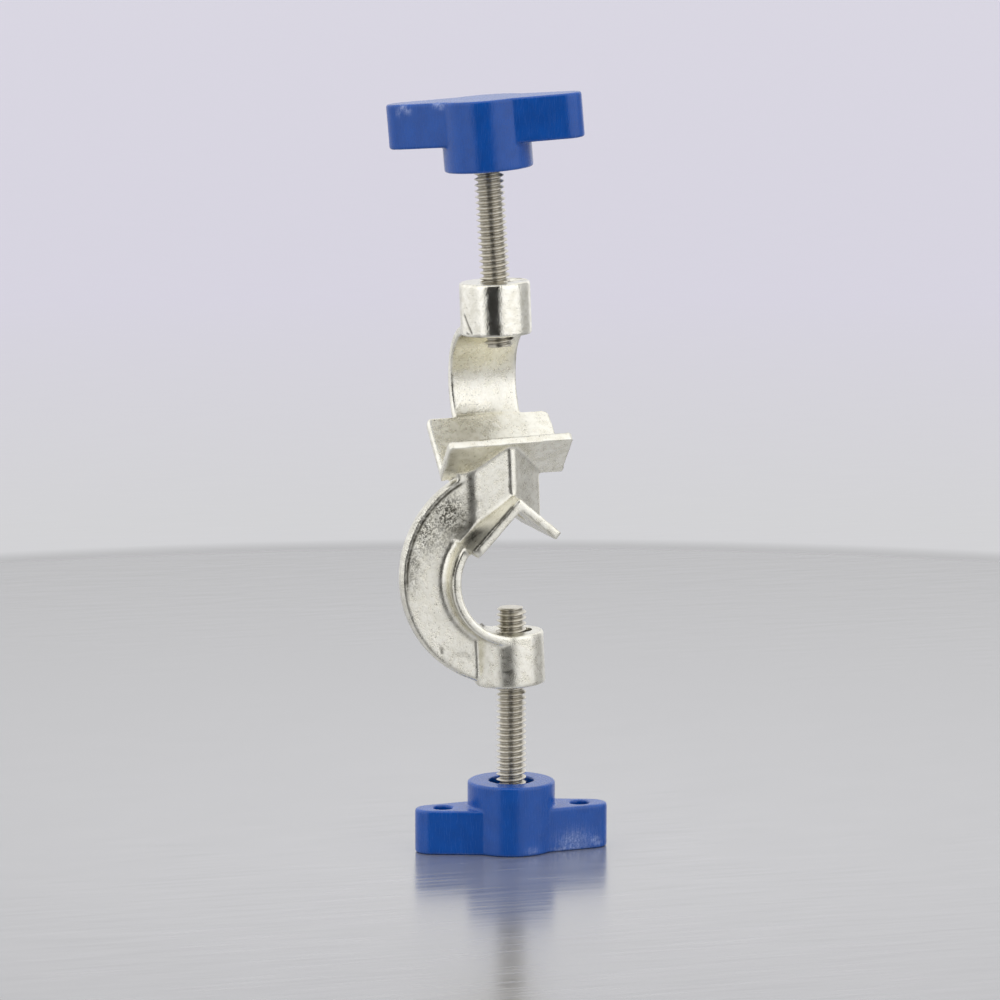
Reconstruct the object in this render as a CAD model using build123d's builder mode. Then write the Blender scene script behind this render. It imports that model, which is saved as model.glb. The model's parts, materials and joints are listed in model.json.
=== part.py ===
"""A boss head clamp: one cast body with two V jaws set at right angles, and a thumbscrew to close each jaw.

It stands on the flat face of the lower thumbscrew's knob. The origin is the centre of that face, +Z is up along the
lower screw, and the side from which the clamp is usually seen is -Y. All sizes are in millimetres.
"""

import os
from math import cos, radians, sin, sqrt, tan

from build123d import *

# Thumbscrews: a quarter-inch stud of 20 threads to the inch, moulded into a plastic wing knob
SCREW_DIAMETER = 6.35
SCREW_FREE_LENGTH = 38.6
SCREW_TIP_CHAMFER = 0.6
SCREW_EMBEDDED_LENGTH = 11.0
TAPPED_HOLE_CLEARANCE = 0.06
KNOB_SOCKET_CLEARANCE = 0.05

# Wing knob, measured from its flat outer face
HUB_DIAMETER = 19.3
HUB_HEIGHT = 15.4
WING_HEIGHT = 9.75
WING_SPAN = 42.9
WING_ROOT_REACH = 6.6
WING_ROOT_WIDTH = 13.0
WING_TIP_RADIUS = 3.8
WING_JUNCTION_RADIUS = 0.8
WING_HOLE_DIAMETER = 4.2
WING_HOLE_REACH = 15.3
WING_HOLE_FLOOR = 1.8
HUB_RECESS_DIAMETER = 9.9
HUB_RECESS_DEPTH = 4.0
KNOB_EDGE_RADIUS = 0.5

# Hook of the casting: a T-section arm bent round the rod's space, from the jaw to the boss of its screw
HOOK_CENTRE = 20.8
ARM_INNER_RADIUS = 12.1
FLANGE_THICKNESS = 2.1
FLANGE_WIDTH = 15.2
FLANGE_EDGE_RADIUS = 0.45
FLANGE_SWEEP = 128
RIB_THICKNESS = 3.65
RIB_OUTER_RADIUS = 24.5
RIB_CENTRE_SHIFT = 0.5
RIB_CENTRE_RISE = 0.65
RIB_RIM_RADIUS = 0.8
RIB_FILLET = 1.7
RIB_FOOT_ANGLE = 12
RIB_TOP_ANGLE = 166
BOSS_DIAMETER = 15.5
BOSS_HEIGHT = 11.6
BOSS_PROUD_OF_ARM = 0.15
BOSS_EDGE_RADIUS = 0.5

# V jaws, back to back on a square block that runs out into the arm's rib
JAW_THICKNESS = 2.0
JAW_LENGTH = 27.8
JAW_INNER_APEX = 4.3
JAW_ARM_LEG = 13.7
JAW_ARM_ANGLE = 45
JAW_FREE_LEG = 10.5
JAW_FREE_ANGLE = 42
JAW_CORNER_RADIUS = 0.8
JAW_ROUNDED_CORNER_RADIUS = 1.7
BLOCK_SIDE = 12.7
BLOCK_EDGE_RADIUS = 1.6
BLOCK_ROOT_RADIUS = 4.5
BLOCK_ROOT_REACH = 10.5

# How the clamp is set, and how the casting and the screws stand in it
LOWER_KNOB_GAP = 21.75
UPPER_KNOB_GAP = 24.35
CASTING_LEAN = 2.3
UPPER_SCREW_LEAN = 1.3
LOWER_HOLE_OFFSET = 0.5
UPPER_HOLE_OFFSET = 0.3
LOWER_KNOB_TURN = -5.6
UPPER_KNOB_TURN = 26.7

# Sizes that follow from those
screw_radius = SCREW_DIAMETER / 2
hole_radius = screw_radius + TAPPED_HOLE_CLEARANCE
hub_radius = HUB_DIAMETER / 2
boss_radius = BOSS_DIAMETER / 2
flange_radius = ARM_INNER_RADIUS + FLANGE_THICKNESS
rib_inner_radius = ARM_INNER_RADIUS + FLANGE_THICKNESS / 2
rib_face = RIB_THICKNESS / 2
boss_face = HOOK_CENTRE + ARM_INNER_RADIUS - BOSS_PROUD_OF_ARM
boss_middle = boss_face + BOSS_HEIGHT / 2
block_height = JAW_INNER_APEX - JAW_THICKNESS * sqrt(2) + boss_radius
groove_reach = JAW_FREE_LEG * cos(radians(JAW_FREE_ANGLE))

# The casting leans to the arm's side from the middle of its lower boss, and its lower hole is a little off the middle
lean = radians(CASTING_LEAN)
casting_up = Vector(-sin(lean), 0, cos(lean))
lower_boss = Vector(-LOWER_HOLE_OFFSET, 0, HUB_HEIGHT + LOWER_KNOB_GAP + BOSS_HEIGHT / 2)
casting = Plane(
    origin=lower_boss + casting_up * boss_middle, x_dir=(cos(lean), 0, sin(lean)), z_dir=casting_up
)

# The upper screw leans a little more than the casting, and crosses its boss a little off the middle
upper_lean = radians(CASTING_LEAN + UPPER_SCREW_LEAN)
upper_up = Vector(-sin(upper_lean), 0, cos(upper_lean))
upper_hole = casting.from_local_coords(Vector(UPPER_HOLE_OFFSET, 0, boss_middle))
upper_face = upper_hole + upper_up * (BOSS_HEIGHT / 2 + UPPER_KNOB_GAP + HUB_HEIGHT)

# Each thumbscrew is made upright on its knob's flat face, and the upper one is then set head down
upper_place = Plane(origin=upper_face, x_dir=(cos(upper_lean), 0, sin(upper_lean)), z_dir=-upper_up)


with BuildPart() as hook:
    # Lower half of the casting, about the casting's own centre, with its arm on the -X side of the screw
    hook_axis = Axis((0, 0, -HOOK_CENTRE), (0, 1, 0))
    arm_foot = Plane(origin=(0, 0, -HOOK_CENTRE), x_dir=(0, 0, -1), z_dir=(1, 0, 0))
    rib_centre = Vector(RIB_CENTRE_SHIFT, 0, RIB_CENTRE_RISE - HOOK_CENTRE)
    rib_axis = Axis(rib_centre, (0, 1, 0))
    rib_foot = Plane(
        origin=rib_centre,
        x_dir=(-sin(radians(RIB_FOOT_ANGLE)), 0, -cos(radians(RIB_FOOT_ANGLE))),
        z_dir=(cos(radians(RIB_FOOT_ANGLE)), 0, -sin(radians(RIB_FOOT_ANGLE))),
    )

    # Boss for the screw, round and with eased rims
    with BuildSketch(Plane.XY.offset(-boss_face)) as boss:
        Circle(boss_radius)
    extrude(amount=-BOSS_HEIGHT)
    fillet(hook.edges().filter_by(GeomType.CIRCLE), BOSS_EDGE_RADIUS)

    # Arm: a flange round the rod's space, with the root of a rib along the middle of its back
    with BuildSketch(arm_foot) as flange_and_root:
        with Locations((ARM_INNER_RADIUS, 0)):
            Rectangle(FLANGE_THICKNESS, FLANGE_WIDTH, align=(Align.MIN, Align.CENTER))
            Rectangle(FLANGE_THICKNESS + 2 * RIB_FILLET, RIB_THICKNESS, align=(Align.MIN, Align.CENTER))
        flange_corners = flange_and_root.vertices().filter_by(lambda corner: abs(corner.Y) > RIB_THICKNESS)
        fillet(flange_corners, FLANGE_EDGE_RADIUS)
        roots = flange_and_root.vertices().filter_by(
            lambda corner: abs(abs(corner.Y) - rib_face) < 0.01 and corner.X < flange_radius + 0.01
        )
        fillet(roots, RIB_FILLET)
    revolve(axis=hook_axis, revolution_arc=FLANGE_SWEEP)

    # The rib's rim is drawn from its own centre, so it deepens towards the jaw and runs up under the other one
    with BuildSketch(rib_foot) as rib:
        with Locations((rib_inner_radius, 0)):
            Rectangle(RIB_OUTER_RADIUS - rib_inner_radius, RIB_THICKNESS, align=(Align.MIN, Align.CENTER))
        fillet(rib.vertices().group_by(Axis.X)[-1], RIB_RIM_RADIUS)
    revolve(axis=rib_axis, revolution_arc=RIB_TOP_ANGLE - RIB_FOOT_ANGLE)

    # Block between the jaws, one corner to each side, running out into both arms' ribs
    with BuildSketch(Plane.XY.offset(-block_height)) as block:
        Rectangle(BLOCK_SIDE, BLOCK_SIDE, rotation=45)
        fillet(block.vertices(), BLOCK_EDGE_RADIUS)
        Rectangle(BLOCK_ROOT_REACH, RIB_THICKNESS, align=(Align.MAX, Align.CENTER))
        Rectangle(RIB_THICKNESS, BLOCK_ROOT_REACH, align=(Align.CENTER, Align.MIN))
        roots = block.vertices().filter_by(
            lambda corner: min(abs(abs(corner.Y) - rib_face), abs(abs(corner.X) - rib_face)) < 0.01
            and max(-corner.X, corner.Y) < BLOCK_ROOT_REACH - 0.1
        )
        fillet(roots, BLOCK_ROOT_RADIUS)
    extrude(amount=block_height)

    # V jaw: a leg on the arm's side, with one well rounded corner, and a shorter free one
    for side, leg_length, leg_angle, last_corner_radius in (
        (-1, JAW_ARM_LEG, JAW_ARM_ANGLE, JAW_ROUNDED_CORNER_RADIUS),
        (1, JAW_FREE_LEG, JAW_FREE_ANGLE, JAW_CORNER_RADIUS),
    ):
        along = (side * cos(radians(leg_angle)), 0, -sin(radians(leg_angle)))
        outward = (side * sin(radians(leg_angle)), 0, cos(radians(leg_angle)))
        with BuildSketch(Plane(origin=(0, 0, -JAW_INNER_APEX), x_dir=along, z_dir=outward)) as leg:
            with Locations((-JAW_THICKNESS, 0)):
                Rectangle(leg_length + JAW_THICKNESS, JAW_LENGTH, align=(Align.MIN, Align.CENTER))
            fillet(leg.vertices().group_by(Axis.X)[-1].sort_by(Axis.Y)[0], JAW_CORNER_RADIUS)
            fillet(leg.vertices().group_by(Axis.X)[-1].sort_by(Axis.Y)[-1], last_corner_radius)
        extrude(amount=JAW_THICKNESS)

    # Nothing of the block or the rib stands inside the jaw
    with BuildSketch(Plane.XZ) as groove:
        with BuildLine():
            Polyline(
                (0, -JAW_INNER_APEX),
                (-groove_reach, -JAW_INNER_APEX - groove_reach * tan(radians(JAW_ARM_ANGLE))),
                (groove_reach, -JAW_INNER_APEX - groove_reach * tan(radians(JAW_FREE_ANGLE))),
                close=True,
            )
        make_face()
    extrude(amount=JAW_LENGTH, both=True, mode=Mode.SUBTRACT)

# The upper hook is the same shape, turned half a turn about a level line between the two arms
half_turn = Axis((0, 0, 0), (-1, 1, 0))

with BuildPart() as clamp_body:
    with Locations(casting):
        add(hook.part)
        add(hook.part.rotate(half_turn, 180))
    with Locations(Plane(origin=(0, 0, lower_boss.Z)), Plane(origin=upper_hole, z_dir=upper_up)):
        Cylinder(hole_radius, BOSS_HEIGHT + 2, mode=Mode.SUBTRACT)

with BuildPart() as stud:
    # One thumbscrew's stud, upright, from its end inside the knob to its chamfered tip
    with BuildSketch(Plane.XY.offset(HUB_HEIGHT - SCREW_EMBEDDED_LENGTH)) as stud_end:
        Circle(screw_radius)
    extrude(amount=SCREW_EMBEDDED_LENGTH + SCREW_FREE_LENGTH)
    chamfer(stud.edges().sort_by(Axis.Z)[-1], SCREW_TIP_CHAMFER)

with BuildPart() as knob:
    # Both wings are drawn tight round their root and their two round tips, then joined to the hub's circle
    with BuildSketch() as wings:
        Rectangle(2 * WING_ROOT_REACH, WING_ROOT_WIDTH)
        with Locations((WING_SPAN / 2 - WING_TIP_RADIUS, 0), (WING_TIP_RADIUS - WING_SPAN / 2, 0)):
            Circle(WING_TIP_RADIUS)
        make_hull()
        Circle(hub_radius)
        junctions = wings.vertices().filter_by(lambda corner: abs(corner.X) < WING_ROOT_REACH + WING_TIP_RADIUS)
        fillet(junctions, WING_JUNCTION_RADIUS)
    extrude(amount=WING_HEIGHT)
    fillet(knob.faces().filter_by(Axis.Z).edges(), KNOB_EDGE_RADIUS)

    # Hub, taller than the wings, with the stud's socket at the bottom of a recess
    with BuildSketch(Plane.XY.offset(WING_HEIGHT / 2)) as hub:
        Circle(hub_radius)
    extrude(amount=HUB_HEIGHT - WING_HEIGHT / 2)
    fillet(knob.edges().group_by(Axis.Z)[-1], KNOB_EDGE_RADIUS)
    with Locations((0, 0, HUB_HEIGHT)):
        Hole(HUB_RECESS_DIAMETER / 2, HUB_RECESS_DEPTH)
        Hole(screw_radius + KNOB_SOCKET_CLEARANCE, SCREW_EMBEDDED_LENGTH)
    with Locations((-WING_HOLE_REACH, 0, WING_HEIGHT), (WING_HOLE_REACH, 0, WING_HEIGHT)):
        Hole(WING_HOLE_DIAMETER / 2, WING_HEIGHT - WING_HOLE_FLOOR)

with BuildPart() as lower_screw:
    add(stud.part)

with BuildPart() as upper_screw:
    with Locations(upper_place):
        add(stud.part)

with BuildPart() as lower_knob:
    with Locations(Location((0, 0, 0), (0, 0, LOWER_KNOB_TURN))):
        add(knob.part)

with BuildPart() as upper_knob:
    with Locations(upper_place.location * Location((0, 0, 0), (0, 0, UPPER_KNOB_TURN))):
        add(knob.part)

clamp_body.part.label = "clamp_body"
lower_screw.part.label = "lower_screw"
upper_screw.part.label = "upper_screw"
lower_knob.part.label = "lower_knob"
upper_knob.part.label = "upper_knob"

os.makedirs("parts", exist_ok=True)
for piece in (clamp_body, lower_screw, upper_screw, lower_knob, upper_knob):
    export_step(piece.part, f"parts/{piece.part.label}.step")
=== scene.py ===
# %% [markdown]
# # A boss head clamp
#
# A boss head holds two rods at right angles on a laboratory stand. This one is a single nickel-plated casting with two
# V jaws, and each jaw is closed by a quarter-inch thumbscrew moulded into a blue plastic wing knob.
#
# The CAD model fixes where everything is. This notebook loads it as a frame, and then gives each piece what the CAD
# leaves out: the softness and pitting of a casting, the threads of the studs, and the nicks of used plastic. Every
# piece is in metres and stays where the frame has it.

# %% Load the frame
import json
import math

import bmesh
import bpy
import numpy as np
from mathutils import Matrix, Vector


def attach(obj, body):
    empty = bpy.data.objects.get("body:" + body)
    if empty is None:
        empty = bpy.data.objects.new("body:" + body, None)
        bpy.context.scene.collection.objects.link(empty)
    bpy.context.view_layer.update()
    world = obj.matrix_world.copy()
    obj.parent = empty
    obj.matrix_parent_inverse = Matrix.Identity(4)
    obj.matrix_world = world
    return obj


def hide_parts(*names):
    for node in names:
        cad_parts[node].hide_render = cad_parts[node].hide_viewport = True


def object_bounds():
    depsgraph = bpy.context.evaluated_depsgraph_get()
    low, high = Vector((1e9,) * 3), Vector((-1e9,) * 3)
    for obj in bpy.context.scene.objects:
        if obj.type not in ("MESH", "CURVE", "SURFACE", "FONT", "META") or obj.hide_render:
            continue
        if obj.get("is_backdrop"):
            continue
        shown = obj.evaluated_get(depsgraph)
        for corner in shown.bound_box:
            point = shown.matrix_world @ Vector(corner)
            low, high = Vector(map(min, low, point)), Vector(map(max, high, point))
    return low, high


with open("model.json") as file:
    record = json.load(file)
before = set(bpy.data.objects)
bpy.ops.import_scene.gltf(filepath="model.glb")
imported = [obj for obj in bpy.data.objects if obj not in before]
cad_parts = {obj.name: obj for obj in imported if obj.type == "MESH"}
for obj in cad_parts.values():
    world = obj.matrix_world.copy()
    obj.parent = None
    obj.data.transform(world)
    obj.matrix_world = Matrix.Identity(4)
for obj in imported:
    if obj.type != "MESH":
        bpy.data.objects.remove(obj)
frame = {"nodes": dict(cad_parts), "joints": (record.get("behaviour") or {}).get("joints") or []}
cad_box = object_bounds()
MM = 0.001
print("nodes:", sorted(frame["nodes"]))

# %% [markdown]
# ## The camera
#
# The photograph was taken with a long lens from a little above, and from the left of the lower jaw's open side. Only
# three things need to be settled: where the camera is, which way it looks, and its lens. They were found by fitting
# the casting's edges, so they are written as numbers and not aimed at the object.

# %% Camera
CAMERA_YAW = math.radians(16.1)
CAMERA_DIP = math.radians(8.3)

camera = bpy.data.cameras.new("photo_camera")
camera.lens = 167.6
camera.sensor_width = 36.0
camera.clip_start = 0.05
camera.clip_end = 50.0
camera_object = bpy.data.objects.new("photo_camera", camera)
camera_object.location = (-0.28145, -0.96619, 0.22447)
camera_object.rotation_euler = (math.pi / 2 - CAMERA_DIP, 0.0, -CAMERA_YAW)
bpy.context.scene.collection.objects.link(camera_object)
bpy.context.scene.camera = camera_object
print("camera distance in m:", round(camera_object.location.length, 3))

# %% [markdown]
# ## Small tools for surfaces
#
# Most new surfaces here are grids: rows of points that are worked out as whole arrays, and then joined by four-sided
# faces. A grid can close on itself. For a helix the last column meets the first one some rows further on, because
# the surface has climbed by a pitch on its way round.


# %% Faces of a grid
def grid_faces(rows, columns, seam_shift=0):
    """Quads between neighbouring points of a rows x columns grid that closes on itself across the columns.

    The last column joins the first, seam_shift rows further on, which is how a helix meets itself after a turn.
    """
    row = np.arange(rows - 1)[:, None]
    column = np.arange(columns)[None, :]
    wraps = column == columns - 1
    next_row = np.minimum(row + np.where(wraps, seam_shift, 0), rows - 1)
    next_row_up = np.minimum(row + 1 + np.where(wraps, seam_shift, 0), rows - 1)
    next_column = np.where(wraps, 0, column + 1)
    quads = np.stack(
        np.broadcast_arrays(
            row * columns + column,
            next_row * columns + next_column,
            next_row_up * columns + next_column,
            (row + 1) * columns + column,
        ),
        axis=-1,
    )
    return quads.reshape(-1, 4)


# %% [markdown]
# A mesh made from such a grid can hold points that fall on each other, as where a ring shrinks to its centre. They
# are merged, the faces left without any area are dissolved, and the normals are worked out again so that they face
# outwards.


# %% A piece from points and quads
MERGE_DISTANCE = 1e-7
FLAT_DISTANCE = 1e-8


def mesh_piece(name, points, quads):
    """A new object at the origin whose mesh has these points and quads, merged where they meet and facing outwards."""
    mesh = bpy.data.meshes.new(name)
    mesh.from_pydata(points.tolist(), [], quads.tolist())
    piece = bpy.data.objects.new(name, mesh)
    bpy.context.scene.collection.objects.link(piece)
    tidy = bmesh.new()
    tidy.from_mesh(mesh)
    bmesh.ops.remove_doubles(tidy, verts=tidy.verts, dist=MERGE_DISTANCE)
    bmesh.ops.dissolve_degenerate(tidy, edges=tidy.edges, dist=FLAT_DISTANCE)
    bmesh.ops.recalc_face_normals(tidy, faces=tidy.faces)
    tidy.to_mesh(mesh)
    tidy.free()
    mesh.shade_smooth()
    return piece


# %% [markdown]
# A mesh's points and normals are read and written as whole arrays, so that dents and lumps are single sums over all
# points.


# %% Points and normals as arrays
def points_of(mesh):
    """The mesh's vertices as an array with three columns."""
    flat = np.empty(3 * len(mesh.vertices))
    mesh.vertices.foreach_get("co", flat)
    return flat.reshape(-1, 3)


def normals_of(mesh):
    """The mesh's vertex normals as an array with three columns."""
    flat = np.empty(3 * len(mesh.vertices))
    mesh.vertex_normals.foreach_get("vector", flat)
    return flat.reshape(-1, 3)


def move_points(mesh, points):
    """Puts an array of points back as the mesh's vertices."""
    mesh.vertices.foreach_set("co", points.ravel())
    mesh.update()


def give_numbers(mesh, name, values):
    """Lets each point of the mesh carry a number from 0 to 1, which a material can read by its name."""
    mesh.attributes.new(name, "FLOAT", "POINT").data.foreach_set("value", np.clip(values, 0.0, 1.0))


# %% [markdown]
# ## Softened copies of CAD nodes
#
# A casting and a moulding have no sharp inside corners: metal and plastic round every edge a little. Adding such
# rounds one by one is slow, so the CAD node is copied, its loose triangles are merged, and it is covered again with
# small even quads. A few rounds of smoothing then melt the corners by about the size of a quad. The even quads are
# also what the pits and nicks need, because they are made by moving points.


# %% Soften a node
NODE_MERGE_DISTANCE = 1e-6
SMOOTHING_FACTOR = 0.5


def softened_copy(node_name, piece_name, quad_size, smoothing_rounds):
    """A copy of a CAD node covered with even quads of the given size and smoothed, as a new object at the origin."""
    mesh = frame["nodes"][node_name].data.copy()
    tidy = bmesh.new()
    tidy.from_mesh(mesh)
    bmesh.ops.remove_doubles(tidy, verts=tidy.verts, dist=NODE_MERGE_DISTANCE)
    tidy.to_mesh(mesh)
    tidy.free()
    mesh.materials.clear()
    piece = bpy.data.objects.new(piece_name, mesh)
    bpy.context.scene.collection.objects.link(piece)
    cover = piece.modifiers.new("cover", "REMESH")
    cover.mode = "VOXEL"
    cover.voxel_size = quad_size
    melt = piece.modifiers.new("melt", "SMOOTH")
    melt.factor = SMOOTHING_FACTOR
    melt.iterations = smoothing_rounds
    evaluated = piece.evaluated_get(bpy.context.evaluated_depsgraph_get())
    soft_mesh = bpy.data.meshes.new_from_object(evaluated)
    soft_mesh.name = piece_name
    piece.modifiers.clear()
    piece.data = soft_mesh
    soft_mesh.shade_smooth()
    print(piece_name, "has", len(soft_mesh.polygons), "quads")
    return piece


# %% [markdown]
# ## Noise as arrays
#
# Lumps and pits need a random number that changes smoothly from place to place. The one below gives each corner of a
# cubic lattice its own number and blends the eight corners round a point.


# %% Lattice noise
TABLE_LENGTH = 4096
LATTICE_SHIFT = 1000.0
CORNER_KEYS = (73856093, 19349663, 83492791)


def lattice_noise(points, cell, seed):
    """Smooth random numbers from -1 to 1 at each point: the values at the corners of a lattice with that cell, blended
    by the point's distance from them along each axis."""
    generator = np.random.default_rng(seed)
    table = generator.uniform(-1.0, 1.0, TABLE_LENGTH)
    scaled = points / cell + LATTICE_SHIFT
    low = np.floor(scaled).astype(np.int64)
    part = scaled - low
    part = part * part * (3.0 - 2.0 * part)
    total = np.zeros(len(points))
    for corner in range(8):
        step = np.array([corner & 1, corner >> 1 & 1, corner >> 2 & 1])
        place = low + step
        x_key, y_key, z_key = (place * CORNER_KEYS).T
        weight = np.prod(np.where(step, part, 1.0 - part), axis=1)
        total += weight * table[(x_key ^ y_key ^ z_key) % TABLE_LENGTH]
    return total


# %% [markdown]
# ## The screws' axes
#
# Each thumbscrew turns about a line of its own, which the frame's joints give. The lower one is upright, and the upper
# one leans, as it does in its worn thread in the photograph. The places along a screw are measured from its knob's
# flat face towards the tip.

# %% Screw axes
turns = {joint["name"]: joint for joint in frame["joints"] if joint["type"] == "hinge"}


def screw_line(joint_name):
    """The start of a screw's axis at its knob's flat face, its direction towards the tip, and two directions across."""
    joint = turns[joint_name]
    along = np.array(joint["axis"], float)
    along /= np.linalg.norm(along)
    across = np.cross([0.0, 1.0, 0.0], along)
    across /= np.linalg.norm(across)
    return np.array(joint["pos_m"], float), along, across, np.cross(along, across)


def along_and_around(points, line):
    """For each point: how far along the line it is, how far from it, and the unit direction from the line to it."""
    start, along = line[:2]
    offset = points - start
    distance = offset @ along
    outward = offset - distance[:, None] * along
    radius = np.linalg.norm(outward, axis=1)
    return distance, radius, outward / np.maximum(radius, 1e-9)[:, None]


lower_line = screw_line("lower_turn")
upper_line = screw_line("upper_turn")
print("upper screw direction:", upper_line[1].round(4))

# %% [markdown]
# ## Tools for materials
#
# A material is a small network of nodes. Four short helpers place the nodes that carry a pattern: a noise, a number
# that the mesh carries, a change of range, and one step of arithmetic. Two more mix colours and turn a height into a
# bump.


# %% Material and pattern helpers
def new_material(name):
    """An empty node material, its node tree, and its Principled shader."""
    material = bpy.data.materials.new(name)
    material.use_nodes = True
    tree = material.node_tree
    return material, tree, tree.nodes["Principled BSDF"]


def object_place(tree):
    """The socket that gives a point's place in the piece's own coordinates, which are the frame's."""
    return tree.nodes.new("ShaderNodeTexCoord").outputs["Object"]


def noise_node(tree, scale, detail, place):
    """A noise texture at a place, with scale in features per metre."""
    noise = tree.nodes.new("ShaderNodeTexNoise")
    noise.inputs["Scale"].default_value = scale
    noise.inputs["Detail"].default_value = detail
    tree.links.new(place, noise.inputs["Vector"])
    return noise.outputs["Fac"]


def attribute(tree, name):
    """The socket of a number that each point of the mesh carries."""
    node = tree.nodes.new("ShaderNodeAttribute")
    node.attribute_name = name
    return node.outputs["Fac"]


# %% Arithmetic helpers
def remap(tree, value, low, high, new_low, new_high):
    """Carries a value from one range to another, and stops it at the new range's ends."""
    node = tree.nodes.new("ShaderNodeMapRange")
    sockets = ("From Min", "From Max", "To Min", "To Max")
    for socket, number in zip(sockets, (low, high, new_low, new_high)):
        node.inputs[socket].default_value = number
    tree.links.new(value, node.inputs["Value"])
    return node.outputs["Result"]


def combine(tree, operation, first, second=0.0):
    """One Math node: each side is a socket or a plain number."""
    node = tree.nodes.new("ShaderNodeMath")
    node.operation = operation
    for socket, value in zip(node.inputs, (first, second)):
        if isinstance(value, (int, float)):
            socket.default_value = value
        else:
            tree.links.new(value, socket)
    return node.outputs[0]


def added(tree, first, second):
    """The sum of two values."""
    return combine(tree, "ADD", first, second)


def times(tree, first, second):
    """The product of two values."""
    return combine(tree, "MULTIPLY", first, second)


# %% Colour and bump helpers
MIX_FIRST_COLOUR, MIX_SECOND_COLOUR, MIX_COLOUR_OUT = 6, 7, 2


def mix_colour(tree, share, first, second):
    """The first colour where the share is 0 and the second where it is 1: each is a socket or three numbers."""
    node = tree.nodes.new("ShaderNodeMix")
    node.data_type = "RGBA"
    tree.links.new(share, node.inputs["Factor"])
    for socket, colour in zip((node.inputs[MIX_FIRST_COLOUR], node.inputs[MIX_SECOND_COLOUR]), (first, second)):
        if isinstance(colour, tuple):
            socket.default_value = (*colour, 1.0)
        else:
            tree.links.new(colour, socket)
    return node.outputs[MIX_COLOUR_OUT]


def bump(tree, height, distance):
    """A bump from a height between 0 and 1, where 1 stands for that distance in metres."""
    node = tree.nodes.new("ShaderNodeBump")
    node.inputs["Strength"].default_value = 1.0
    node.inputs["Distance"].default_value = distance
    tree.links.new(height, node.inputs["Height"])
    return node.outputs["Normal"]


# %% [markdown]
# ## Cast nickel
#
# Nickel plate is a warm white metal. It takes the smoothness of what is under it, so on the studs it is nearly bright,
# and on the casting it shows every grain of the mould. Two silver tones are mixed by a mottle. Dark stain lies in the
# pits and in rare specks. The same dark colour lies where the mesh carries a number for stain and painted shade: that
# is stain along the cracks, some jaw edges, the burr and the pits, and painted shade in the inside corners, on the
# jaw's leg beside the arm and beside the lower arm's rim. Pits make the metal duller. The "shine" number makes it
# smoother on the upper boss, which looks turned.

# %% Cast nickel
DULL_SILVER = (0.80, 0.775, 0.67)
BRIGHT_SILVER = (0.95, 0.93, 0.84)
# The dark colour of stain, also used for painted shade.
STAIN_AND_SHADE_COLOUR = (0.075, 0.07, 0.055)

cast_nickel, tree, shader = new_material("cast_nickel")
place = object_place(tree)
shader.inputs["Metallic"].default_value = 1.0
wear = attribute(tree, "pitting")
stain_and_shade_share = attribute(tree, "stain_and_shade_share")
shine = attribute(tree, "shine")
grain = noise_node(tree, 3000.0, 5.0, place)
mottle = noise_node(tree, 620.0, 4.0, place)
cloud = noise_node(tree, 130.0, 2.0, place)

in_pits = times(tree, remap(tree, grain, 0.56, 0.44, 0.0, 1.0), wear)
rare_specks = times(tree, remap(tree, grain, 0.37, 0.31, 0.0, 0.75), remap(tree, mottle, 0.45, 0.6, 1.0, 0.2))
dark = combine(tree, "MAXIMUM", combine(tree, "MAXIMUM", in_pits, rare_specks), stain_and_shade_share)
silver = mix_colour(tree, remap(tree, mottle, 0.35, 0.65, 0.0, 1.0), DULL_SILVER, BRIGHT_SILVER)
tree.links.new(mix_colour(tree, dark, silver, STAIN_AND_SHADE_COLOUR), shader.inputs["Base Color"])

haze = added(tree, remap(tree, mottle, 0.35, 0.65, 0.22, 0.31), remap(tree, cloud, 0.4, 0.7, 0.0, 0.06))
dull = added(tree, haze, times(tree, wear, 0.12))
roughness = combine(tree, "SUBTRACT", dull, times(tree, shine, 0.17))
tree.links.new(roughness, shader.inputs["Roughness"])
height = added(tree, times(tree, grain, 0.55), times(tree, mottle, 0.6))
tree.links.new(bump(tree, height, 0.07 * MM), shader.inputs["Normal"])
print(cast_nickel.name, "has", len(tree.nodes), "nodes")

# %% [markdown]
# ## Thread nickel
#
# On the studs the plate is smooth and a little darker, and old oil darkens the roots of the thread. Each point of a
# stud carries how deep in the thread it is as a "root" number.

# %% Thread nickel
OILED_ROOT = (0.13, 0.115, 0.085)

thread_nickel, tree, shader = new_material("thread_nickel")
place = object_place(tree)
shader.inputs["Metallic"].default_value = 1.0
drag = noise_node(tree, 1500.0, 3.0, place)
metal = mix_colour(tree, remap(tree, drag, 0.35, 0.65, 0.0, 1.0), (0.68, 0.64, 0.55), (0.84, 0.81, 0.72))
oiled = mix_colour(tree, times(tree, attribute(tree, "root"), 0.5), metal, OILED_ROOT)
tree.links.new(oiled, shader.inputs["Base Color"])
tree.links.new(remap(tree, drag, 0.3, 0.7, 0.3, 0.4), shader.inputs["Roughness"])
tree.links.new(bump(tree, drag, 0.02 * MM), shader.inputs["Normal"])
print(thread_nickel.name, "has", len(tree.nodes), "nodes")

# %% [markdown]
# ## Blue plastic
#
# The knobs are a through-coloured moulding with a satin skin, and the mould has left a fine upright grain in it. Where
# the edges have been knocked the plastic has gone pale, and that is painted by a number that each point of the knob
# carries. The same number also carries a painted highlight along every ridge, in the same pale colour. The grain and
# some flecks break the scuffs and the painted highlight up.

# %% Blue plastic
# The pale colour of scuffs, also used for the painted highlight along the knobs' ridges.
SCUFF_AND_SHEEN_COLOUR = (0.50, 0.60, 0.90)
UPRIGHT_STRETCH = (1.0, 1.0, 0.10)

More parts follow.
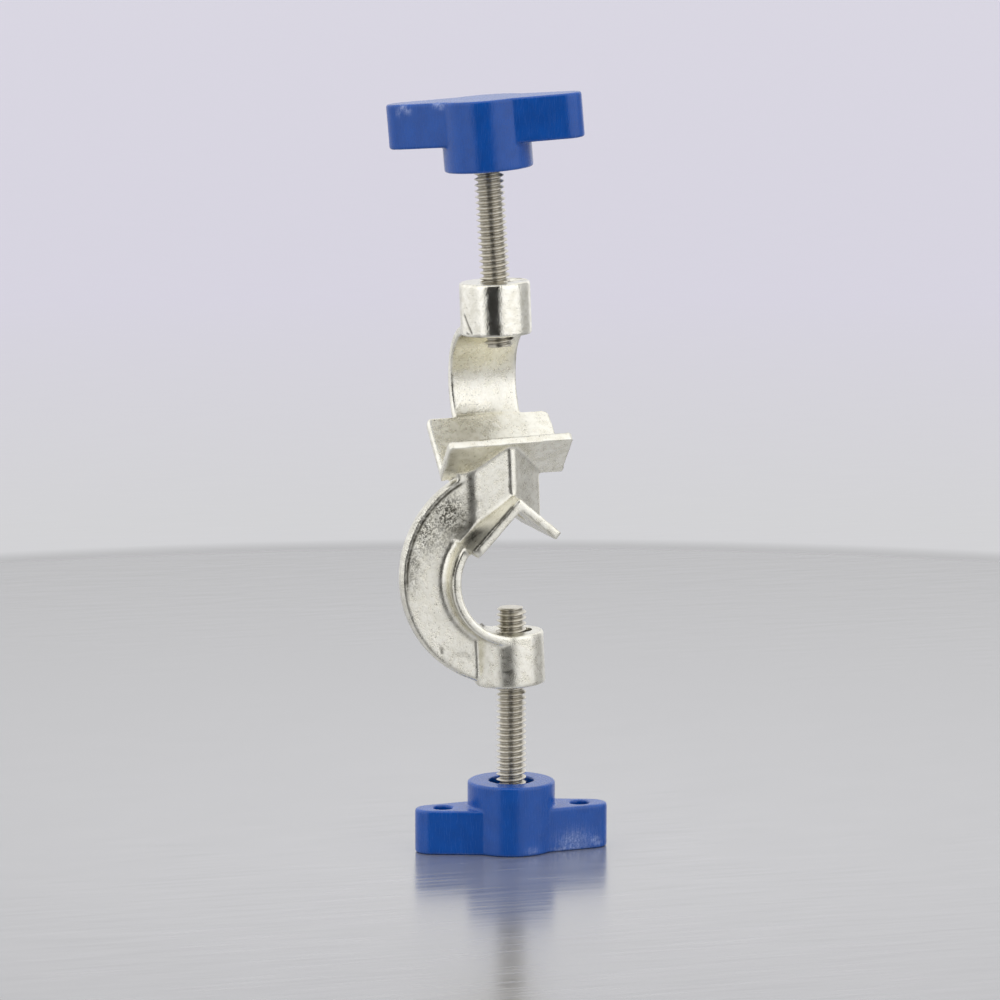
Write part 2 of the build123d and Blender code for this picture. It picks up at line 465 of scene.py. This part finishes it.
blue_plastic, tree, shader = new_material("blue_plastic")
place = object_place(tree)
stretch = tree.nodes.new("ShaderNodeMapping")
stretch.inputs["Scale"].default_value = UPRIGHT_STRETCH
tree.links.new(place, stretch.inputs["Vector"])
upright = noise_node(tree, 3600.0, 3.0, stretch.outputs["Vector"])
flecks = noise_node(tree, 2600.0, 3.0, place)
patch = noise_node(tree, 300.0, 2.0, place)
scuff_and_sheen = attribute(tree, "scuff_and_sheen")
shader.inputs["IOR"].default_value = 1.5

broken = times(tree, remap(tree, upright, 0.40, 0.60, 0.35, 1.0), remap(tree, flecks, 0.38, 0.6, 0.25, 1.0))
blue = mix_colour(tree, remap(tree, patch, 0.3, 0.7, 0.0, 1.0), (0.0015, 0.076, 0.38), (0.002, 0.092, 0.45))
tree.links.new(mix_colour(tree, times(tree, scuff_and_sheen, broken), blue, SCUFF_AND_SHEEN_COLOUR), shader.inputs["Base Color"])
satin = added(tree, remap(tree, upright, 0.35, 0.65, 0.17, 0.30), times(tree, scuff_and_sheen, 0.2))
tree.links.new(satin, shader.inputs["Roughness"])
skin = added(tree, times(tree, upright, 0.8), times(tree, flecks, 0.5))
tree.links.new(bump(tree, skin, 0.03 * MM), shader.inputs["Normal"])
print(blue_plastic.name, "has", len(tree.nodes), "nodes")

# %% [markdown]
# ## The casting
#
# The casting is one piece. Its two holes are opened a little, so that the crests of the studs pass freely: points
# nearer to a screw's axis than the hole's radius are pushed straight out to it.
#
# This step has a fault that is left in. It follows each axis through the whole casting and not only through that
# screw's own boss. The axes lie close together, so the lower hole is stretched to one side, the upper hole has a thin
# fin across it that the stud passes through, and the V faces of the jaws are dented in the middle. Pushing only
# points that lie less than 58 mm along each line would cure all three.

# %% Casting
CASTING_QUAD = 0.345 * MM
CASTING_ROUNDS = 4
HOLE_RADIUS = 3.43 * MM
HOLE_REACH = 3.6 * MM
LUMP_SIZE = 3.4 * MM
LUMP_HEIGHT = 0.02 * MM

casting = softened_copy("clamp_body", "cast_body", CASTING_QUAD, CASTING_ROUNDS)
casting_normals = normals_of(casting.data)
casting_points = points_of(casting.data)
for line in (lower_line, upper_line):
    _, radius, outward = along_and_around(casting_points, line)
    push = np.where(radius < HOLE_REACH, np.maximum(HOLE_RADIUS - radius, 0.0), 0.0)
    casting_points += push[:, None] * outward
    print("points pushed outwards:", int((push > 0).sum()))
lump = lattice_noise(casting_points, LUMP_SIZE, 1) * LUMP_HEIGHT
casting_points += casting_normals * lump[:, None]

# %% [markdown]
# ### Shapes for damage
#
# Pits, cracks and stains are all placed with two soft shapes. Each gives every point a share, which is 1 at the place
# itself and falls to 0 round it, so a dent is the share times a depth.


# %% Shapes for damage
def blob(points, centre, sizes):
    """One inside a blurred ellipsoid round a centre in millimetres, falling to zero outside: exp of minus the square of
    the distance, where each axis is measured in its own size."""
    return np.exp(-np.sum(((points / MM - centre) / np.asarray(sizes, float)) ** 2, axis=1))


def groove(points, start, end, width):
    """One along a straight line between two places in millimetres, falling to zero over a width to its sides."""
    start, end = np.asarray(start, float), np.asarray(end, float)
    run = end - start
    share = np.clip((points / MM - start) @ run / (run @ run), 0.0, 1.0)
    gap = np.linalg.norm(points / MM - start - share[:, None] * run, axis=1)
    return np.exp(-((gap / width) ** 2))


# %% [markdown]
# ### Where the corners are
#
# Painted shade goes into inside corners, and a painted highlight goes along the plastic's ridges. Both places can be
# found from the mesh itself: in a corner, the neighbours of a point stand higher than it does.


# %% Corners and ridges
def hollowness(mesh):
    """How far each point lies below its neighbours along its normal, as a share of the edges' length: above zero in a
    corner, below zero on a ridge. It is averaged twice over the neighbours."""
    points, normals = points_of(mesh), normals_of(mesh)
    ends = np.empty(2 * len(mesh.edges), np.int64)
    mesh.edges.foreach_get("vertices", ends)
    first, second = ends.reshape(-1, 2).T
    count = np.bincount(ends, minlength=len(points)).astype(float)

    def neighbour_mean(values):
        """The mean of a number over each point's neighbours."""
        total = np.bincount(first, values[second], len(points)) + np.bincount(second, values[first], len(points))
        return total / np.maximum(count, 1.0)

    run = points[second] - points[first]
    length = np.maximum(np.linalg.norm(run, axis=1), 1e-9)
    rise_first = np.einsum("ij,ij->i", run, normals[first]) / length
    rise_second = -np.einsum("ij,ij->i", run, normals[second]) / length
    rise = np.bincount(first, rise_first, len(points)) + np.bincount(second, rise_second, len(points))
    return neighbour_mean(neighbour_mean(rise / np.maximum(count, 1.0)))


# %% [markdown]
# ### Pits
#
# The plating failed where the arm meets the upper jaw: there the web is a field of dark pits, which thins out along
# the arm's outer half. The pits are cut as real hollows where a fine lattice noise is high, and each point keeps how
# pitted it is for the material to darken. Each place below is a centre, three sizes and an amount.

# %% Pits
PIT_PLACES = [
    ((-15.0, -1.8, 75.5), (5.0, 2.5, 5.0), 1.0),
    ((-20.0, -1.8, 71.5), (3.6, 2.5, 5.5), 0.85),
    ((-23.0, -1.8, 65.0), (2.0, 2.5, 6.5), 0.7),
    ((-16.5, -1.8, 69.5), (3.0, 2.0, 3.0), 0.45),
    ((3.2, -6.3, 80.0), (3.5, 3.5, 6.0), 0.35),
    ((-9.0, -5.0, 73.0), (2.5, 4.0, 3.2), 0.35),
    ((-7.5, -1.8, 77.5), (3.0, 3.0, 3.0), 0.3),
    ((-12.0, -1.9, 44.0), (4.0, 1.5, 1.5), 0.25),
]
PIT_SIZE = 0.75 * MM
PIT_DEPTH = 0.26 * MM

pitted = np.zeros(len(casting_points))
for centre, sizes, amount in PIT_PLACES:
    pitted = np.maximum(pitted, amount * blob(casting_points, centre, sizes))
deep = np.clip(lattice_noise(casting_points, PIT_SIZE, 2) - 0.05, 0.0, 1.0)
casting_points -= casting_normals * (deep * pitted * PIT_DEPTH)[:, None]
print("pitted points:", int((pitted > 0.3).sum()), "of", len(pitted))

# %% [markdown]
# ### Burr and cracks
#
# A rough burr stands up beside the lower hole. The upper boss has a crack at its foot, and there are two short nicks
# lower down. A crack is a groove cut along the normals. Each row below is its start, its end, its width and its depth
# in millimetres.

# %% Burr and cracks
BURR_CENTRE, BURR_SIZES, BURR_HEIGHT = (-5.9, 2.0, 49.6), (0.8, 1.6, 0.8), 0.8 * MM
CRACKS = [
    ((-11.05, -1.7, 118.6), (-10.1, -3.8, 114.9), 0.30, 0.28),
    ((-10.75, -2.4, 114.8), (-8.6, -5.4, 114.2), 0.22, 0.15),
    ((-3.9, -7.1, 40.9), (-2.2, -7.6, 41.1), 0.20, 0.12),
    ((-16.6, -1.9, 45.9), (-16.3, -1.9, 44.7), 0.22, 0.12),
]

ragged = 0.7 + 0.5 * lattice_noise(casting_points, 0.6 * MM, 8)
burr = blob(casting_points, BURR_CENTRE, BURR_SIZES) * ragged
casting_points[:, 2] += BURR_HEIGHT * np.clip(burr, 0.0, 1.0)
cracked = np.zeros(len(casting_points))
for start, end, width, depth in CRACKS:
    line_share = groove(casting_points, start, end, width)
    casting_points -= casting_normals * (line_share * depth * MM)[:, None]
    cracked = np.maximum(cracked, line_share)
print("cracked points:", int((cracked > 0.5).sum()))

hollow = hollowness(casting.data)
# Painted shade for the inside corners, from how hollow each point is.
corner_shade = np.clip(hollow * 5.0 - 0.25, 0.0, 1.0)
print("hollowness of the casting:", np.percentile(hollow, [1, 50, 99]).round(3))
move_points(casting.data, casting_points)

# %% [markdown]
# ### Stains
#
# Dark stain lies in the cracks, along some edges of the jaws and in a patch by the burr. Painted shade lies in the
# inside corners, along the end of the jaw's leg beside the arm, in a patch on that leg and beside the rim, and is
# carried with the stain. The lines and patches were placed one by one. A noise that is drawn out upwards breaks them
# up, so that none looks ruled.

# %% Stains
STAIN_AND_SHADE_LINES = [
    # The first line, along the end of the jaw's leg beside the arm, is painted shade; the other lines are stain.
    ((-12.0, -13.2, 69.3), (-4.0, -13.2, 77.9), 0.75, 1.35),
    ((-15.7, -7.55, 92.05), (10.9, -7.45, 93.1), 0.34, 1.2),
    ((-14.3, -7.1, 66.8), (-15.1, -7.2, 62.9), 0.45, 1.3),
    ((-15.1, -7.3, 62.9), (-14.6, -7.4, 59.5), 0.30, 0.7),
]
STAIN_AND_SHADE_PLACES = [
    # The first patch, by the burr, is stain; the second, on the jaw's leg beside the arm, is painted shade.
    ((-6.3, 1.6, 50.3), (1.6, 2.2, 1.2), 0.9),
    ((-10.4, -5.6, 71.0), (2.4, 4.6, 2.8), 0.9),
]
STREAK_SQUEEZE = [1.0, 1.0, 2.5]

streaky = 0.95 + 0.45 * lattice_noise(casting_points * STREAK_SQUEEZE, 0.6 * MM, 7)
# Stain along the cracks, and painted shade in the inside corners.
stain_and_shade = np.maximum(cracked, 0.55 * streaky * corner_shade)
for start, end, width, amount in STAIN_AND_SHADE_LINES:
    stain_and_shade = np.maximum(stain_and_shade, amount * streaky * groove(casting_points, start, end, width))
for centre, sizes, amount in STAIN_AND_SHADE_PLACES:
    stain_and_shade = np.maximum(stain_and_shade, amount * streaky * blob(casting_points, centre, sizes))
patches = lattice_noise(casting_points, 1.6 * MM, 9) > -0.2

# %% [markdown]
# The lower arm's rim is an arc, so the painted shade beside it, a dark line just inside its rounded edge, is found with
# polar coordinates: the distance from the arc's centre picks the line, and the bearing picks how far it runs, fading at
# both ends.

# %% Painted shade beside the rim
RIM_CENTRE = [-0.75, 61.35]
RIM_SHADE_RADIUS = 23.3
RIM_SHADE_WIDTH = 0.36
WEB_FRONT = -1.2 * MM

rim_offset = casting_points[:, [0, 2]] / MM - RIM_CENTRE
rim_radius = np.linalg.norm(rim_offset, axis=1)
rim_bearing = np.degrees(np.arctan2(rim_offset[:, 1], -rim_offset[:, 0]))
on_front = (casting_points[:, 1] < WEB_FRONT) & (rim_offset[:, 0] < 0)
rim_shade_line = np.exp(-(((rim_radius - RIM_SHADE_RADIUS) / RIM_SHADE_WIDTH) ** 2)) * on_front
rim_shade_line *= np.clip((rim_bearing + 12) / 12, 0, 1) * np.clip((66 - rim_bearing) / 6, 0, 1)
# The dark line inside the rim's rounded edge is painted shade, carried with the stain.
stain_and_shade = np.maximum(stain_and_shade, 1.3 * streaky * rim_shade_line)
stain_and_shade = np.maximum(stain_and_shade, 0.3 * pitted * patches)
print("stained points:", int((stain_and_shade > 0.5).sum()))

# %% [markdown]
# The upper boss looks turned, so it is smoother than the rest. It is told from the arm behind it by its
# radius round the upper screw and by its height. With that, the casting has all the numbers that its material reads.

# %% Finish of the casting
BOSS_RADIUS_SEEN = 8.6 * MM
BOSS_EDGE_BLUR = 0.4 * MM
BOSS_FOOT = 112.0 * MM

_, radius, _ = along_and_around(casting_points, upper_line)
polished = np.clip((BOSS_RADIUS_SEEN - radius) / BOSS_EDGE_BLUR, 0.0, 1.0) * (casting_points[:, 2] > BOSS_FOOT)
for number_name, values in (("pitting", pitted), ("stain_and_shade_share", stain_and_shade), ("shine", polished)):
    give_numbers(casting.data, number_name, values)
casting.data.materials.append(cast_nickel)
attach(casting, "casting")
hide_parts("clamp_body")
print("polished points:", int((polished > 0.5).sum()))

# %% [markdown]
# ## The threads
#
# A screw thread is a notched profile carried along a helix. The profile below is one turn of a thread with twenty
# turns to the inch, given as shares of the pitch and radii, and the last point of one turn is followed by the first
# of the next. Its flanks stand at a little over 50 degrees to each other, and its root is flat.

# %% Thread profile
PITCH = 1.27 * MM
STUD_START = 11.0 * MM
STUD_TIP = 54.0 * MM
TIP_RADIUS = 2.575 * MM
TIP_CONE = 0.6 * MM
CREST_RADIUS = 3.27 * MM
turn_shares = np.array([0.0, 0.03, 0.10, 0.13, 0.42, 0.47, 0.66, 0.71])
turn_radii = np.array([3.24, 3.27, 3.27, 3.24, 2.49, 2.43, 2.43, 2.49]) * MM
print("thread depth in mm:", round((turn_radii.max() - turn_radii.min()) / MM, 2))

# %% [markdown]
# The profile is repeated for every turn and given to every column of the grid, with the columns rising by one pitch
# on the way round. The rows run past both ends, and what is past an end is drawn in to the end's own circle. So the
# tip is flat with a cone round it. Rings that shrink to a point close both ends.

# %% Threaded stud
THREAD_COLUMNS = 96
START_RINGS = [(STUD_START, share) for share in (0.0, 0.6, 1.0)]
TIP_RINGS = [(STUD_TIP, share) for share in (1.0, 0.85, 0.5, 0.0)]


def thread_grid():
    """Place along the screw, radius and quads: the place rises by a pitch for each turn of the angle, and the radius
    follows the profile, but is nowhere above the cone that ends at the tip's circle."""
    turns_needed = int(math.ceil((STUD_TIP - STUD_START) / PITCH)) + 2
    shares = (np.arange(turns_needed)[:, None] + turn_shares[None, :]).ravel() - 1.0
    round_share = np.arange(THREAD_COLUMNS) / THREAD_COLUMNS
    place_along = STUD_START + (shares[:, None] + round_share[None, :]) * PITCH
    radius = np.broadcast_to(np.tile(turn_radii, turns_needed)[:, None], place_along.shape).copy()
    cone = TIP_RADIUS + np.clip(STUD_TIP - place_along, 0.0, None) * (CREST_RADIUS - TIP_RADIUS) / TIP_CONE
    radius = np.minimum(radius, cone)
    radius[(place_along >= STUD_TIP) | (place_along <= STUD_START)] = TIP_RADIUS
    quads = grid_faces(len(shares), THREAD_COLUMNS, seam_shift=len(turn_shares))
    return np.clip(place_along, STUD_START, STUD_TIP), radius, quads


def end_rings():
    """Place along the screw, radius and quads of the flat ends: rings whose radius is a share of the tip's."""
    places, shares = np.array(START_RINGS + TIP_RINGS).T
    quads = grid_faces(len(places), THREAD_COLUMNS)
    last_start_ring = len(START_RINGS) - 1
    quads = quads[quads[:, 0] // THREAD_COLUMNS != last_start_ring]
    level = np.zeros(THREAD_COLUMNS)
    return places[:, None] + level, shares[:, None] * TIP_RADIUS + level, quads


# %% [markdown]
# The two grids are joined and bent round the screw's axis. Each point then gets its "root" number, which is 0 on a
# crest and 1 in a root.

# %% Studs
ROOT_SHADE_START = 3.20 * MM
ROOT_SHADE_DEPTH = 0.7 * MM
TIP_FACE = 0.02 * MM


def thread_piece(name, line):
    """The threaded stud on a line, closed at both ends, with its root numbers."""
    start, along, across, third = line
    place_along, radius, quads = thread_grid()
    ring_along, ring_radius, ring_quads = end_rings()
    quads = np.concatenate([quads, ring_quads + place_along.size])
    place_along = np.concatenate([place_along, ring_along])
    radius = np.concatenate([radius, ring_radius])
    angle = np.linspace(0.0, 2.0 * math.pi, THREAD_COLUMNS, endpoint=False)
    around = np.cos(angle)[None, :, None] * across + np.sin(angle)[None, :, None] * third
    points = start + place_along[:, :, None] * along + radius[:, :, None] * around
    thread = mesh_piece(name, points.reshape(-1, 3), quads)
    distance, radius, _ = along_and_around(points_of(thread.data), line)
    depth = np.clip((ROOT_SHADE_START - radius) / ROOT_SHADE_DEPTH, 0.0, 1.0)
    give_numbers(thread.data, "root", np.where(distance < STUD_TIP - TIP_FACE, depth, 0.0))
    return thread


for name, line, body, node in (
    ("lower_thread", lower_line, "lower_grip", "lower_screw"),
    ("upper_thread", upper_line, "upper_grip", "upper_screw"),
):
    thread = thread_piece(name, line)
    thread.data.materials.append(thread_nickel)
    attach(thread, body)
    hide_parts(node)
    print(name, "has", len(thread.data.polygons), "faces")

# %% [markdown]
# ## The knobs
#
# The knobs' form comes from the frame, softened by the size of a quad. Each keeps the knocks of its own life. A knock
# is a soft dent that is also pale, and each row below is its centre, its three sizes and its depth in millimetres,
# and its paleness. Knocks with no depth are scuffs.

# %% Knocks
KNOCKS = {
    "upper_wing_knob": [
        ((-17.1, -1.0, 164.6), (0.9, 0.9, 0.9), 0.45, 1.0),
        ((-16.2, -1.8, 164.0), (0.7, 0.7, 0.7), 0.20, 1.0),
        ((-23.2, 4.1, 163.4), (0.8, 0.8, 0.7), 0.18, 1.0),
        ((-22.2, 3.4, 162.6), (0.8, 0.8, 0.6), 0.12, 1.0),
        ((-24.0, 4.8, 162.4), (0.5, 0.5, 0.9), 0.10, 0.7),
        ((11.3, -11.4, 156.6), (0.8, 1.2, 0.9), 0.0, 0.8),
    ],
    "lower_wing_knob": [
        ((17.6, -5.6, 2.2), (1.0, 0.8, 0.7), 0.30, 1.0),
        ((18.4, -5.4, 1.3), (0.9, 0.8, 0.5), 0.20, 0.9),
        ((9.0, -6.8, 0.5), (1.4, 0.9, 0.7), 0.30, 0.9),
        ((12.6, -6.2, 2.0), (4.2, 0.9, 2.4), 0.0, 0.75),
        ((12.0, -6.3, 0.6), (6.0, 0.9, 0.5), 0.0, 0.8),
        ((2.2, -9.6, 1.2), (1.2, 1.2, 0.7), 0.0, 0.7),
    ],
}
for name, knocks in KNOCKS.items():
    print(name, "has", len(knocks), "knocks")

# %% [markdown]
# The upper knob isn't quite square to its stud, so it is turned a little about its middle. The arm from the middle to
# a point is split in two: the part along the turn's line stays as it is, and only the part across it turns.

# %% Tilt of the upper knob
UPPER_KNOB_CENTRE = upper_line[0] + upper_line[1] * 7.7 * MM
UPPER_KNOB_TILT = math.radians(1.2)


def tilted(points, centre, angle):
    """The points turned by an angle round a level line that goes through the centre and away from the camera."""
    away = np.array([math.sin(CAMERA_YAW), math.cos(CAMERA_YAW), 0.0])
    arm = points - centre
    along_line = (arm @ away)[:, None] * away
    across_line = arm - along_line
    turned_arm = math.cos(angle) * across_line - math.sin(angle) * np.cross(away, across_line)
    return centre + along_line + turned_arm


# %% [markdown]
# Each knob is softened, tilted if it is the upper one, and then knocked. The ridges are found with the same hollowness
# as the casting's corners, and get a faint painted highlight all along, in the scuffs' pale colour.

# %% Knobs
KNOB_QUAD = 0.28 * MM
KNOB_ROUNDS = 3

for name, body, node in (
    ("lower_wing_knob", "lower_grip", "lower_knob"),
    ("upper_wing_knob", "upper_grip", "upper_knob"),
):
    knob = softened_copy(node, name, KNOB_QUAD, KNOB_ROUNDS)
    knob_points = points_of(knob.data)
    if name == "upper_wing_knob":
        knob_points = tilted(knob_points, UPPER_KNOB_CENTRE, UPPER_KNOB_TILT)
        move_points(knob.data, knob_points)
    knob_normals = normals_of(knob.data)
    scuffed = np.zeros(len(knob_points))
    rough_edge = 0.6 + 0.4 * lattice_noise(knob_points, 0.5 * MM, 5)
    for centre, sizes, depth, paleness in KNOCKS[name]:
        share = blob(knob_points, centre, sizes)
        knob_points -= knob_normals * (share * rough_edge * depth * MM)[:, None]
        scuffed = np.maximum(scuffed, share * paleness)
    ridge = np.clip(-hollowness(knob.data) * 6.0 - 0.3, 0.0, 1.0)
    # A painted highlight along the ridges, pale like a scuff.
    ridge_sheen = 0.16 * ridge * (0.8 + 0.8 * lattice_noise(knob_points, 1.2 * MM, 6))
    move_points(knob.data, knob_points)
    give_numbers(knob.data, "scuff_and_sheen", np.maximum(scuffed, ridge_sheen))
    knob.data.materials.append(blue_plastic)
    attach(knob, body)
    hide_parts(node)

# %% [markdown]
# ## The floor
#
# The clamp stands on a pale brushed table, which ends some way behind it, and beyond that the floor is matt and pale as
# paper. The table's end is an arc round the clamp, so that it is there from every side. The brushing is a noise
# stretched along the photograph's level direction. The table gets darker with the distance from the clamp: that is a
# painted pool of light round the clamp.

# %% Table
TABLE_END = 0.437
TABLE_EDGE_BLUR = 0.012
TABLE_FADE = 0.42
BRUSH_STRETCH = (0.06, 1.0, 1.0)

floor_material, tree, shader = new_material("brushed_table")
place = object_place(tree)
brushed = tree.nodes.new("ShaderNodeMapping")
brushed.inputs["Rotation"].default_value = (0.0, 0.0, -CAMERA_YAW)
brushed.inputs["Scale"].default_value = BRUSH_STRETCH
tree.links.new(place, brushed.inputs["Vector"])
streaks = noise_node(tree, 650.0, 4.0, brushed.outputs["Vector"])
radius_node = tree.nodes.new("ShaderNodeVectorMath")
radius_node.operation = "LENGTH"
tree.links.new(place, radius_node.inputs[0])
from_clamp = radius_node.outputs["Value"]

# A painted pool of light: the table's tone falls from the clamp outwards.
away_share = remap(tree, from_clamp, 0.0, TABLE_FADE, 0.0, 1.0)
worn_tone = mix_colour(tree, away_share, (0.50, 0.50, 0.51), (0.32, 0.32, 0.32))
bright_tone = mix_colour(tree, away_share, (0.60, 0.60, 0.61), (0.36, 0.36, 0.36))
table_tone = mix_colour(tree, remap(tree, streaks, 0.3, 0.7, 0.0, 1.0), worn_tone, bright_tone)
paper_share = remap(tree, from_clamp, 0.5, 1.2, 0.0, 1.0)
paper = mix_colour(tree, paper_share, (0.66, 0.66, 0.67), (0.68, 0.66, 0.74))
beyond = remap(tree, from_clamp, TABLE_END - TABLE_EDGE_BLUR, TABLE_END + TABLE_EDGE_BLUR, 0.0, 1.0)
tree.links.new(mix_colour(tree, beyond, table_tone, paper), shader.inputs["Base Color"])
shader.inputs["Metallic"].default_value = 0.6
table_roughness = added(tree, remap(tree, streaks, 0.35, 0.65, 0.17, 0.24), times(tree, beyond, 0.6))
tree.links.new(table_roughness, shader.inputs["Roughness"])
print("the table ends", TABLE_END, "m from the clamp")

# %% [markdown]
# Polished upright faces seen from a little above would show the floor far in front of them, and nothing else. A real
# room has more in it, so beyond a short distance the floor lets glossy rays through, and they go on to the room. The
# camera still sees the whole floor, and the table near the clamp still shows in the metal.

# %% Floor
SEE_THROUGH_FROM, SEE_THROUGH_AT = 0.28, 0.34
FLOOR_REACH = 7.0

light_path = tree.nodes.new("ShaderNodeLightPath")
let_through = tree.nodes.new("ShaderNodeBsdfTransparent")
choose = tree.nodes.new("ShaderNodeMixShader")
far_enough = remap(tree, from_clamp, SEE_THROUGH_FROM, SEE_THROUGH_AT, 0.0, 1.0)
tree.links.new(times(tree, far_enough, light_path.outputs["Is Glossy Ray"]), choose.inputs["Fac"])
tree.links.new(shader.outputs["BSDF"], choose.inputs[1])
tree.links.new(let_through.outputs["BSDF"], choose.inputs[2])
tree.links.new(choose.outputs["Shader"], tree.nodes["Material Output"].inputs["Surface"])

corners = [(x * FLOOR_REACH, y * FLOOR_REACH, 0) for x, y in ((-1, -1), (1, -1), (1, 1), (-1, 1))]
floor_mesh = bpy.data.meshes.new("floor")
floor_mesh.from_pydata(corners, [], [(0, 1, 2, 3)])
floor = bpy.data.objects.new("floor", floor_mesh)
bpy.context.scene.collection.objects.link(floor)
floor_mesh.materials.append(floor_material)
floor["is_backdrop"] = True
print(floor_material.name, "has", len(tree.nodes), "nodes")

# %% [markdown]
# ## The room
#
# Metal shows what is round it more than its own colour, so the light is a room and not a set of lamps: pale walls at
# about the same level all round, a dark gap where the camera stands, and a dimmer stretch to the right. The stops
# below go round the room by bearing, 0 towards the camera and positive to the right, each with a level.

# %% Walls of the room
WALL_STOPS = [
    (-180, 0.75), (-142, 0.75), (-130, 1.0), (-60, 0.95), (-50, 1.15), (-36, 1.15), (-24, 0.04), (14, 0.04),
    (24, 1.1), (42, 1.15), (50, 1.15), (84, 1.1), (93, 0.5), (131, 0.5), (146, 0.95), (180, 0.75),
]

world = bpy.data.worlds.new("room")
bpy.context.scene.world = world
world.use_nodes = True
tree = world.node_tree
direction = tree.nodes.new("ShaderNodeTexCoord").outputs["Generated"]
turned = tree.nodes.new("ShaderNodeVectorRotate")
turned.rotation_type = "Z_AXIS"
turned.inputs["Angle"].default_value = CAMERA_YAW
tree.links.new(direction, turned.inputs["Vector"])
split = tree.nodes.new("ShaderNodeSeparateXYZ")
tree.links.new(turned.outputs["Vector"], split.inputs["Vector"])
bearing = combine(tree, "ARCTAN2", split.outputs["X"], times(tree, split.outputs["Y"], -1.0))
walls = tree.nodes.new("ShaderNodeValToRGB")
walls.color_ramp.interpolation = "EASE"
stops = walls.color_ramp.elements
while len(stops) < len(WALL_STOPS):
    stops.new(0.5)
for stop, (degrees, level) in zip(stops, WALL_STOPS):
    stop.position = (degrees + 180) / 360
    stop.color = (level, level, level * 1.02, 1.0)
tree.links.new(remap(tree, bearing, -math.pi, math.pi, 0.0, 1.0), walls.inputs["Fac"])
print("stops round the room:", len(stops))

# %% [markdown]
# The walls get a little dimmer towards the floor. High up they give way to a ceiling of one level, which is what the
# upward faces and the table show.

# %% Ceiling of the room
rise = combine(tree, "ARCSINE", split.outputs["Z"])
low_walls = tree.nodes.new("ShaderNodeVectorMath")
low_walls.operation = "SCALE"
tree.links.new(walls.outputs["Color"], low_walls.inputs[0])
floor_dimming = remap(tree, rise, math.radians(-12), math.radians(6), 0.88, 1.18)
tree.links.new(floor_dimming, low_walls.inputs["Scale"])
ceiling_level = remap(tree, rise, math.radians(50), math.radians(65), 1.1, 1.15)
ceiling_colour = tree.nodes.new("ShaderNodeCombineColor")
for channel in ("Red", "Green", "Blue"):
    tree.links.new(ceiling_level, ceiling_colour.inputs[channel])
over_walls = remap(tree, rise, math.radians(35), math.radians(50), 0.0, 1.0)
room_colour = mix_colour(tree, over_walls, low_walls.outputs["Vector"], ceiling_colour.outputs["Color"])
background = tree.nodes["Background"]
tree.links.new(room_colour, background.inputs["Color"])
background.inputs["Strength"].default_value = 1.0
print(world.name, "has", len(tree.nodes), "nodes")

# %% [markdown]
# ## The end
#
# Colours are shown as they are, with no film look. The CAD model's box and the finished pieces' box are printed side by
# side. The finished pieces have to stay inside the CAD model's box.

# %% Finish
bpy.context.scene.view_settings.view_transform = "Standard"
sizes = {"cad": [list(corner) for corner in cad_box], "visual": [list(corner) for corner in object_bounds()]}
print(sizes)
